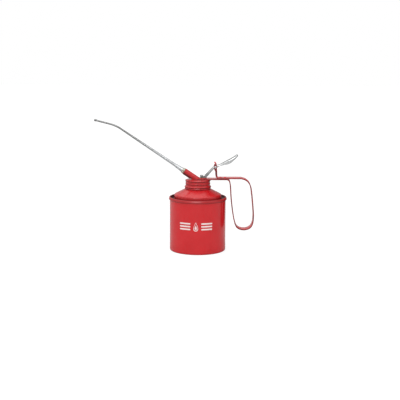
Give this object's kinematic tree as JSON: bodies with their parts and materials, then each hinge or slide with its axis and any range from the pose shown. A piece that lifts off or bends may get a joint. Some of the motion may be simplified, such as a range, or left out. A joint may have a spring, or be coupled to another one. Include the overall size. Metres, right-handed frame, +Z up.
{
  "type": "oil can",
  "caption": "Hand oiler: red painted tin with a screw-on pump head, long bent spout, strip handle and a thumb lever that works a plunger pump inside.",
  "frame": {"origin": "centre of the ring that the can stands on, on the can's axis, at table height", "axes": "+Z up the can's axis, +X towards the handle, the spout points to -X and the printed front faces -Y"},
  "size_m": [0.2219, 0.0808, 0.1824],
  "materials": {
    "red_paint": "gloss",
    "plated": "bright zinc plate",
    "steel": "satin",
    "strainer_steel": "satin",
    "brass": "turned",
    "rubber": "matt",
    "fibre": "matt",
    "packing": "waxed",
    "leather": "oiled"
  },
  "bodies": {
    "can": {"body_shell": "red_paint", "base_plate": "red_paint", "shoulder": "red_paint", "neck_ring": "red_paint"},
    "gasket": {"cap_gasket": "rubber"},
    "head": {"screw_cap": "red_paint", "handle_strip": "red_paint", "handle_rivets": "red_paint", "pump_head": "red_paint", "stem_washer": "fibre", "head_lock_nut": "brass", "gland_nut": "brass", "gland_packing": "packing", "pump_barrel": "brass", "foot_valve": "brass", "suction_strainer": "strainer_steel", "return_spring": "steel", "pivot_pin": "plated"},
    "foot_ball": {"foot_ball": "steel"},
    "outlet_ball": {"outlet_ball": "steel"},
    "plunger": {"plunger_rod": "steel", "cross_pin": "plated", "piston": "brass", "piston_cup": "leather", "cup_washer": "brass", "piston_nut": "brass"},
    "lever": {"trigger_lever": "plated"},
    "spout": {"spout_nut": "plated", "spout_ferrule": "plated", "spout_tube": "plated", "spout_tip": "plated"}
  },
  "joints": [
    {"name": "head_rise", "type": "slide", "parent": "can", "child": "gasket", "axis": [0, 0, 1], "range_m": [0, 0.007]},
    {"name": "head_turn", "type": "hinge", "parent": "gasket", "child": "head", "pos_m": [0, 0, 0.0976], "axis": [0, 0, 1], "range_deg": [0, 720]},
    {"name": "trigger_pivot", "type": "hinge", "parent": "head", "child": "lever", "pos_m": [0.0242, 0, 0.1168], "axis": [0, 1, 0], "range_deg": [0, 20], "stiffness_Nm_per_rad": 0.22, "springref_deg": -20.05},
    {"name": "plunger_slide", "type": "slide", "parent": "head", "child": "plunger", "axis": [0, 0, 1], "range_m": [0, 0.0068], "deforming": ["return_spring"]},
    {"name": "foot_ball_lift", "type": "slide", "parent": "head", "child": "foot_ball", "axis": [0, 0, 1], "range_m": [0, 0.0015]},
    {"name": "outlet_ball_lift", "type": "slide", "parent": "head", "child": "outlet_ball", "axis": [-0.832, 0, 0.5548], "range_m": [0, 0.0015]},
    {"name": "spout_swivel", "type": "hinge", "parent": "head", "child": "spout", "pos_m": [0, 0, 0.0978], "axis": [-0.832, 0, 0.5548], "range_deg": [-180, 180]}
  ],
  "couplings": [
    {"joint": "head_turn", "follows": "head_rise", "rad_per_m": 1795.2},
    {"joint": "trigger_pivot", "follows": "plunger_slide", "rad_per_m": 51.333}
  ]
}
